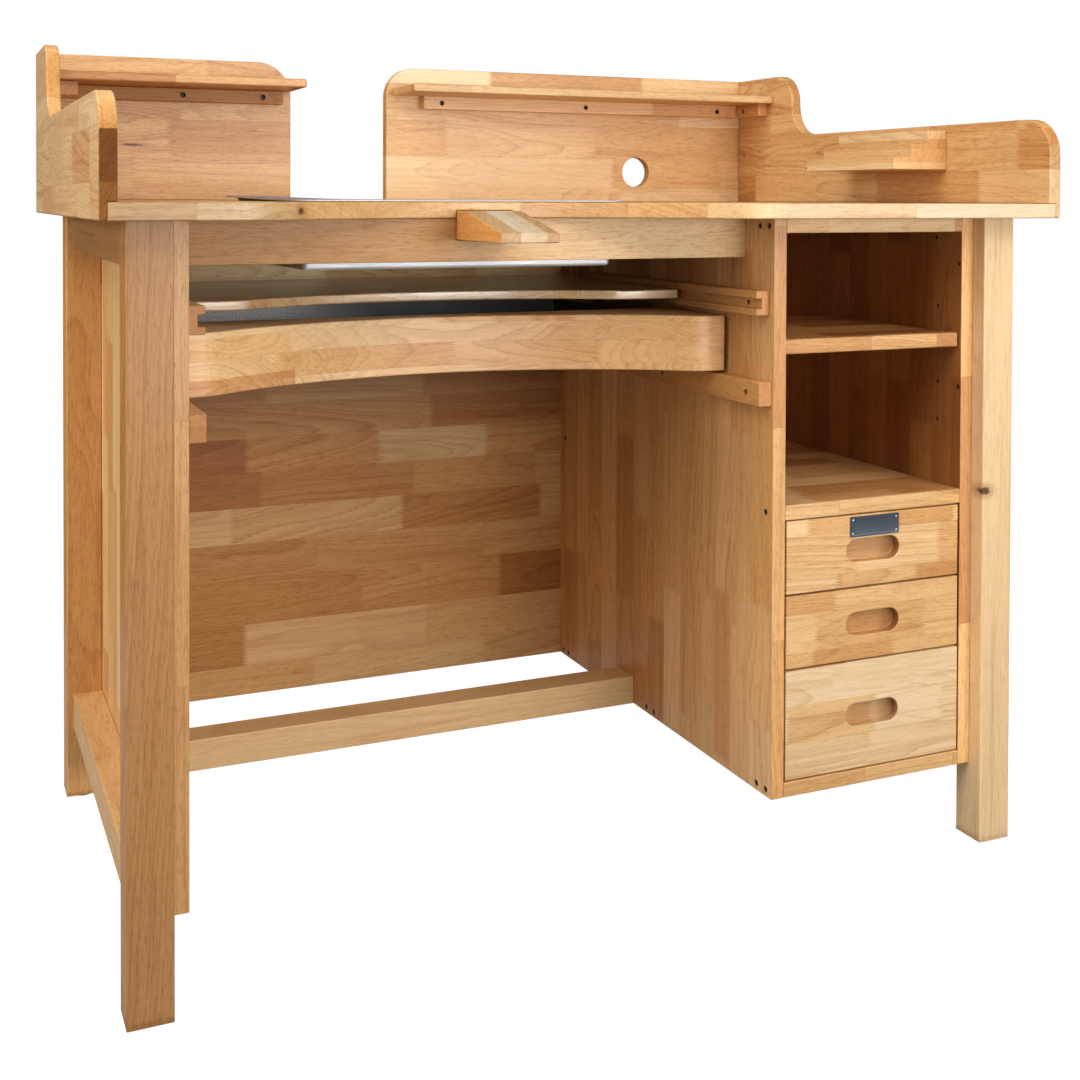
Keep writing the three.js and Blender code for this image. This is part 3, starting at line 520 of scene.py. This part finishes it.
# painted shade: the finger slots are darker inside, most at their right-hand end
for n in ("drawer_1_front", "drawer_2_front", "drawer_3_front"):
    lo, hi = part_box(n)
    zc = (lo.z + hi.z) / 2
    a, b = Vector((P(1050, 0, 0).x, lo.y + .0008, zc - .0190)), Vector((P(1150, 0, 0).x, lo.y + .0150, zc + .0190))
    BLOCK_AND_LIGHT_TINTS[n] = [(a, b, (0.76, 0.65, 0.56), HARD), (Vector((P(1124, 0, 0).x, a.y, a.z)), b + Vector((.020, 0, 0)), (0.66, 0.57, 0.49), (.014, HARD, HARD))]
COAT = {"pull_out_board": (0.85, 0.18), "left_gallery_end": (0.0, 0.40), "knee_back_panel": (0.03, 0.30), "front_apron": (0.05, 0.30)}
SPEC = {"left_gallery_end": 0.10, "knee_back_panel": 0.20, "front_apron": 0.28, "left_ledge_cleat": 0.20}
for i, (n, (gr, ac, st, bl, to, sp, fi, wd, mk)) in enumerate(PLAN.items()):
    lo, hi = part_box(n)
    o = NODES[n]
    o.data.materials[0] = wood("wood_" + n, (lo + hi) / 2, gr, ac, st, bl, SEEDS.get(n, 1.0 + 2.618 * i), to, sp, fi, PAINTED_SHEEN.get(n, 0.0), KNOTS.get(n, ()), HOLE_SHADE.get(n, ()),
                                BLOCK_AND_LIGHT_TINTS.get(n, ()), COAT.get(n, (0.10, 0.30)), SPEC.get(n, 0.45))
    soften(o, wd, mk)

STEEL = metal("pan_steel", (0.73, 0.735, 0.74), 0.54, "x", 0.0, 0.80)
# painted shade: the liner sheet darkens towards the right, where the cabinet side shades it
TIN = metal("liner_sheet", (0.95, 0.94, 0.93), 0.60, "x", 0.6, 0.20, shade=[(P(300, 0, 0).x, P(560, 0, 0).x, (0.24, 0.24, 0.24))])
BLACK = plastic("glide_plastic", (0.012, 0.012, 0.013))
SCREW = metal("screw_bronze", (0.075, 0.058, 0.042), 0.42, "z", 0.25, 0.7)
PIN = metal("shelf_pin_steel", (0.30, 0.24, 0.17), 0.36, "x", 0.15, 0.9)
PLATE = metal("plate_steel", (0.115, 0.135, 0.165), 0.36, "x", 0.0, 0.9)
NAIL = metal("nail_steel", (0.62, 0.62, 0.62), 0.28, "z", 0.1, 1.0)
for n in ("front_left", "front_right", "rear_left", "rear_right"):
    NODES[n + "_foot"].data.materials[0] = BLACK
    soften(NODES[n + "_foot"], 0.0008)
NODES["tray_liner"].data.materials[0] = TIN


# ------------------------------------------------------------------ small pieces
def link(o):
    bpy.context.scene.collection.objects.link(o)
    return o


def piece(name, bm, mat, body, angle=0.7):
    bmesh.ops.recalc_face_normals(bm, faces=bm.faces)
    me = bpy.data.meshes.new(name)
    bm.to_mesh(me)
    bm.free()
    me.materials.append(mat)
    me.shade_smooth()
    me.set_sharp_from_angle(angle=angle)
    o = link(bpy.data.objects.new(name, me))
    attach(o, body)
    return o


def loops_to_faces(bm, loops, closed=True):
    for a, b in zip(loops, loops[1:]):
        n = len(a)
        for i in range(n if closed else n - 1):
            j = (i + 1) % n
            bm.faces.new((a[i], a[j], b[j], b[i]))


def basis(axis):
    """Right-handed frame whose third axis points out of the hole."""
    z = Vector(axis).normalized()
    x = Vector((0, 0, 1)).cross(z)
    if x.length < 0.1:
        x = Vector((1, 0, 0))
    x.normalize()
    return x, z.cross(x), z


def screw_head(bm, place, axis, r, turn):
    """Countersunk screw seen end-on: rim, shallow crown and a tapered cross recess. place is the middle of the crown's rim."""
    x, y, z = basis(axis)
    c, s = math.cos(turn), math.sin(turn)
    x, y = x * c + y * s, y * c - x * s
    at = lambda u, v, h: bm.verts.new(place + x * u + y * v + z * h)
    n = 24
    ang = [2 * math.pi * (i + 0.5) / n for i in range(n)]
    ring = lambda rad, h: [at(rad * math.cos(t), rad * math.sin(t), h) for t in ang]
    a, k = 0.62 * r, 0.15 * r

    def cross(f, h):
        """Outline of the recess with one point for each point of the rim."""
        pts = []
        for t in ang:
            u, v = math.cos(t), math.sin(t)
            m = max(abs(u), abs(v))
            if min(abs(u), abs(v)) / m * a < k:
                q = a * f / m
            else:
                q = k * f / min(abs(u), abs(v))
            pts.append(at(u * q, v * q, h))
        return pts
    loops = [ring(0.55 * r, -0.75 * r), ring(0.97 * r, -0.16 * r), ring(r, -0.08 * r), ring(0.96 * r, 0.0),
             ring(0.80 * r, 0.10 * r), cross(1.0, 0.15 * r), cross(0.80, -0.35 * r)]
    loops_to_faces(bm, loops)
    bm.faces.new(loops[0])
    bm.faces.new(loops[-1])


def screws(name, axis, deep, r, places, turn0):
    """places are the bores' mouths, deep how far the crown lies below them."""
    bm = bmesh.new()
    for i, q in enumerate(places):
        screw_head(bm, P(*q) - Vector(axis) * deep, axis, r, turn0 + 1.9 * i)
    piece(name, bm, SCREW, "frame", 0.5)


screws("left_panel_screws", (1, 0, 0), .0012, .0042, [(79, y, z) for y in (40, 762) for z in (899.5, 538, 180)], 0.3)
screws("left_cleat_screws", (0, -1, 0), .0070, .0042, [(x, 818, 1180) for x in (63, 205, 347)], 0.9)
screws("right_cleat_screws", (0, -1, 0), .0070, .0042, [(x, 818, 1179.5) for x in (689, 991, 1291)], 0.2)
screws("left_end_cleat_screw", (1, 0, 0), .0050, .0042, [(20, 770, 1180)], 0.4)
screws("right_end_cleat_screw", (-1, 0, 0), .0050, .0042, [(1337, 792, 1180)], 0.7)
screws("cabinet_side_screws", (-1, 0, 0), .0010, .0044, [(920, y, z) for y, z in (
    (40, 960), (65, 960), (45, 538), (756, 538), (41, 128), (66, 128), (390, 127), (417, 127), (738, 126), (761, 126))], 0.1)
screws("cabinet_inner_screws", (-1, 0, 0), .0010, .0035, [(1263, y, z) for y, z in (
    (33, 899.5), (33, 707.5), (760, 899.5), (760, 707.5), (88, 939.5), (274, 939.5), (460, 939.5), (646, 939.5))], 0.6)
for s, xg, xl, ax in (("left", 91.5, 101, 1), ("right", 907.5, 898, -1)):
    screws(f"upper_{s}_rail_screws", (ax, 0, 0), .0012, .0034, [(xg, y, 846.5) for y in (75.5, 326, 585)], 0.5)
    screws(f"lower_{s}_rail_screws", (ax, 0, 0), .0040, .0042, [(xl, y, 713.5) for y in (67, 326, 585)], 0.8)


def shelf_pins():
    """Half-round pegs with a flat top that stand out of the bored sides under the shelf."""
    for side, x, ax in (("left", 942, 1), ("right", 1263, -1)):
        bm = bmesh.new()
        for y in (82, 395):
            cx, cz = Vector((ax, 0, 0)), P(x, y, 771)
            loops = []
            for out, k in ((-.009, .80), (-.0085, 1), (.0, 1), (.0001, 1.28), (.0012, 1.34), (.0016, 1.0), (.0075, 1.0), (.0082, .86)):
                r = .0025 * k
                pts = [bm.verts.new(cz + cx * out + Vector((0, math.cos(t) * r, -math.sin(t) * r - .0002)))
                       for t in [math.pi * i / 10 for i in range(11)]]
                loops.append(pts)
            loops_to_faces(bm, loops)
            bm.faces.new(loops[0])
            bm.faces.new(loops[-1])
        piece(f"{side}_shelf_pins", bm, PIN, "frame", 0.6)


shelf_pins()


def round_rect(x0, x1, y0, y1, r, n, sx, sy):
    """Closed outline with n+1 points on each corner and sx, sy extra points on the long and short sides."""
    pts = []
    for cx, cy, t0, m in ((x1 - r, y0 + r, -90, sy), (x1 - r, y1 - r, 0, sx), (x0 + r, y1 - r, 90, sy), (x0 + r, y0 + r, 180, sx)):
        arc = [(cx + r * math.cos(math.radians(t0 + 90 * i / n)), cy + r * math.sin(math.radians(t0 + 90 * i / n))) for i in range(n + 1)]
        pts.append((arc, m))
    out = []
    for k, (arc, m) in enumerate(pts):
        nxt = pts[(k + 1) % 4][0][0]
        out += arc
        out += [(arc[-1][0] + (nxt[0] - arc[-1][0]) * j / (m + 1), arc[-1][1] + (nxt[1] - arc[-1][1]) * j / (m + 1)) for j in range(1, m + 1)]
    return out


def pan():
    """Pressed sheet tray: rounded bottom, flange with a hemmed edge. The flange stands a little off the wood at its left end."""
    arc = lambda cx, cz, r, t0, t1, n: [(cx + r * math.cos(math.radians(t0 + (t1 - t0) * i / n)),
                                         cz + r * math.sin(math.radians(t0 + (t1 - t0) * i / n))) for i in range(n + 1)]
    prof = [(-90, 899.0), (-30, 898.5)] + arc(-5, 903.2, 5, -90, 0, 6) + [(0, 935), (0, 962)] + arc(6, 989.5, 6, 180, 90, 5)
    prof += [(13.6, 995.5), (14.0, 994.3), (15.0, 994.2)] + arc(22.4, 995.6, 1.4, -90, 90, 6)
    prof += [(13.0, 996.9)] + arc(6, 989.5, 7.4, 90, 180, 5) + [(-1.4, 962), (-1.4, 935)] + arc(-5, 903.2, 3.6, 0, -90, 6) + [(-30, 899.9), (-90, 900.4)]
    bm = bmesh.new()
    loops = []
    for o, z in prof:
        r = max(8.0 + 0.8 * o, 4.0)
        row = []
        for x, y in round_rect(264 - o, 740 + o, 200 - o, 618 + o, r, 6, 11, 7):
            k = min(max((470 - x) / 230, 0), 1)
            k = k * k * (3 - 2 * k) * min(max((o - 2) / 9, 0), 1)
            row.append(bm.verts.new(P(x, y, z + k * (0.3 + 6.0 * (y - 176) / 466))))
        loops.append(row)
    loops_to_faces(bm, loops)
    bm.faces.new(loops[0])
    bm.faces.new(loops[-1])
    o = piece("pressed_pan", bm, STEEL, "drop_in_pan", 0.9)
    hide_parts("drop_in_pan")


pan()


def plate():
    """Blank plate with a raised border, held by four small nails."""
    x0, x1, z0, z1, y = 1057, 1147, 491.5, 522.5, 27
    bm = bmesh.new()
    loops = []
    for inset, out in ((0, -.05), (0, .75), (.35, 1.05), (2.2, 1.05), (2.6, .80), (3.0, .74)):
        loops.append([bm.verts.new(P(a, y - out, b)) for a, b in round_rect(x0 + inset, x1 - inset, z0 + inset, z1 - inset, max(2.4 - inset, .8), 4, 5, 2)])
    loops_to_faces(bm, loops)
    bm.faces.new(loops[0])
    bm.faces.new(loops[-1])
    piece("drawer_plate", bm, PLATE, "drawer_1", 0.5)
    bm = bmesh.new()
    for cx in (x0 + 5.4, x1 - 5.4):
        for cz in (z0 + 5.4, z1 - 5.4):
            rows = []
            for r, out in ((1.55, .60), (1.7, .95), (1.45, 1.35), (.95, 1.62), (.4, 1.72)):
                rows.append([bm.verts.new(P(cx + r * math.cos(t), y - out, cz + r * math.sin(t))) for t in [2 * math.pi * i / 14 for i in range(14)]])
            loops_to_faces(bm, rows)
            bm.faces.new(rows[0])
            bm.faces.new(rows[-1])
    piece("drawer_plate_nails", bm, NAIL, "drawer_1", 0.9)


plate()


# ------------------------------------------------------------------ stage, camera and light
def floor():
    me = bpy.data.meshes.new("floor")
    s = 30.0
    me.from_pydata([(-s, -s, 0), (s, -s, 0), (s, s, 0), (-s, s, 0)], [], [(0, 1, 2, 3)])
    m = bpy.data.materials.new("floor_paint")
    m.use_nodes = True
    g = Graph(m.node_tree)
    b = m.node_tree.nodes["Principled BSDF"]
    tc = g.new("ShaderNodeTexCoord")
    g.put(b.inputs["Base Color"], g.mix(g.noise3(tc.outputs["Object"], 0.6, 2.0), (0.10, 0.10, 0.10), (0.12, 0.12, 0.12)))
    b.inputs["Roughness"].default_value = 0.9
    b.inputs["Specular IOR Level"].default_value = 0.1
    b.inputs["Emission Color"].default_value = (1, 1, 1, 1)
    b.inputs["Emission Strength"].default_value = 1.0
    me.materials.append(m)
    o = link(bpy.data.objects.new("floor", me))
    o.visible_diffuse = False
    o.visible_glossy = False


floor()

scene = bpy.context.scene
yaw, pitch, roll = 0.4113, 0.0170, -0.00337
fwd = Vector((math.sin(yaw) * math.cos(pitch), math.cos(yaw) * math.cos(pitch), -math.sin(pitch)))
right = Vector((math.cos(yaw), -math.sin(yaw), 0))
down = fwd.cross(right)
r2 = right * math.cos(roll) + down * math.sin(roll)
d2 = -right * math.sin(roll) + down * math.cos(roll)
cam = bpy.data.cameras.new("camera")
cam.sensor_width = 36
cam.lens = 36 * 1432.41 / 1080
cam.shift_y = (222.48 - 540) / 1080
cam.clip_start, cam.clip_end = 0.05, 200
co = link(bpy.data.objects.new("camera", cam))
eye = P(-228.1, -1751.3, 1000)
m3 = Matrix((r2, -d2, -fwd)).transposed()
co.matrix_world = Matrix.Translation(eye) @ m3.to_4x4()
scene.camera = co

# white all round behind the object; the softboxes light it
world = bpy.data.worlds.new("studio")
scene.world = world
world.use_nodes = True
world.node_tree.nodes["Background"].inputs[0].default_value = (1, 1, 1, 1)
world.node_tree.nodes["Background"].inputs[1].default_value = 1.0
world.cycles_visibility.diffuse = False
world.cycles_visibility.glossy = False


def softbox(name, place, aim, w, h, power, diffuse=True, glossy=True):
    l = bpy.data.lights.new(name, "AREA")
    l.shape = "RECTANGLE"
    l.size, l.size_y, l.energy = w, h, power
    o = link(bpy.data.objects.new(name, l))
    place, aim = P(*place), P(*aim)
    o.location = place
    o.rotation_mode = "QUATERNION"
    o.rotation_quaternion = (aim - place).to_track_quat("-Z", "Y")
    o.visible_camera = False
    o.visible_diffuse = diffuse
    o.visible_glossy = glossy


softbox("key_high", (1700, -1900, 1950), (800, 200, 900), 1.3, 0.9, 25)
softbox("key_low", (1750, -2100, 920), (800, 300, 890), 1.2, 0.35, 11)
softbox("front_low", (1000, -2600, 980), (650, 300, 870), 1.2, 0.5, 26)
softbox("sheen", (1850, -2300, 950), (1850, 300, 950), 2.8, 1.0, 24, diffuse=False)
softbox("front_top", (1300, -1200, 2700), (850, 350, 1000), 2.0, 1.4, 14)
softbox("left_top", (-500, -1500, 2500), (400, 300, 900), 1.6, 1.2, 9)
softbox("left_front", (-2300, -700, 1500), (900, 100, 600), 1.0, 1.4, 32)
softbox("left_side", (-2800, 300, 1100), (0, 400, 700), 1.8, 1.8, 34, glossy=False)
softbox("ceiling_left", (-900, -200, 2900), (900, 400, 1000), 1.6, 1.6, 45, glossy=False)
softbox("right_side", (3600, 900, 1300), (1300, 500, 800), 1.6, 1.6, 30, glossy=False)
softbox("back", (500, 3700, 1900), (671, 400, 700), 2.4, 1.8, 60, glossy=False)
softbox("floor_bounce", (671, -300, 3), (671, -300, 1000), 5.0, 4.0, 19)
scene.view_settings.view_transform = "Standard"
scene.view_settings.look = "None"
